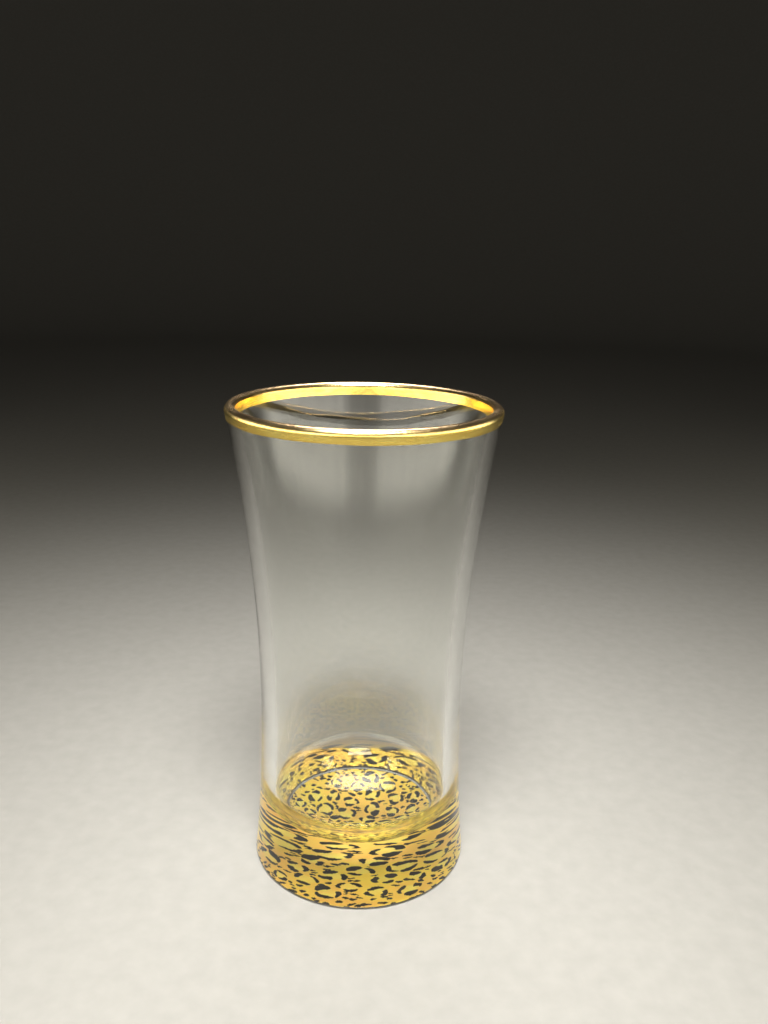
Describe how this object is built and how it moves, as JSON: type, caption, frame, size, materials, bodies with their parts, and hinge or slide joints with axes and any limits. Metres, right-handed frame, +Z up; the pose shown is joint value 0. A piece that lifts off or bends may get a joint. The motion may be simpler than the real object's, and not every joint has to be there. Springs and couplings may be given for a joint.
{
  "type": "shot glass",
  "caption": "Tall flared clear shot glass with a thick base, a gilded rim and a gold and black leopard print fired under the base.",
  "frame": {"origin": "centre of the ring that the glass stands on, at table height", "axes": "+Z up along the glass's axis of revolution, from the base to the rim"},
  "size_m": [0.0468, 0.0468, 0.0861],
  "materials": {
    "clear_glass": "clear, fire polished",
    "rim_gold": "bright fired gold",
    "print_gold": "mottled yellow to orange gold print",
    "black_enamel": "black fired enamel"
  },
  "bodies": {
    "root": {"glass_body": "clear_glass", "rim_gold_band": "rim_gold", "base_gold_print": "print_gold", "base_black_backing": "black_enamel"}
  },
  "joints": []
}
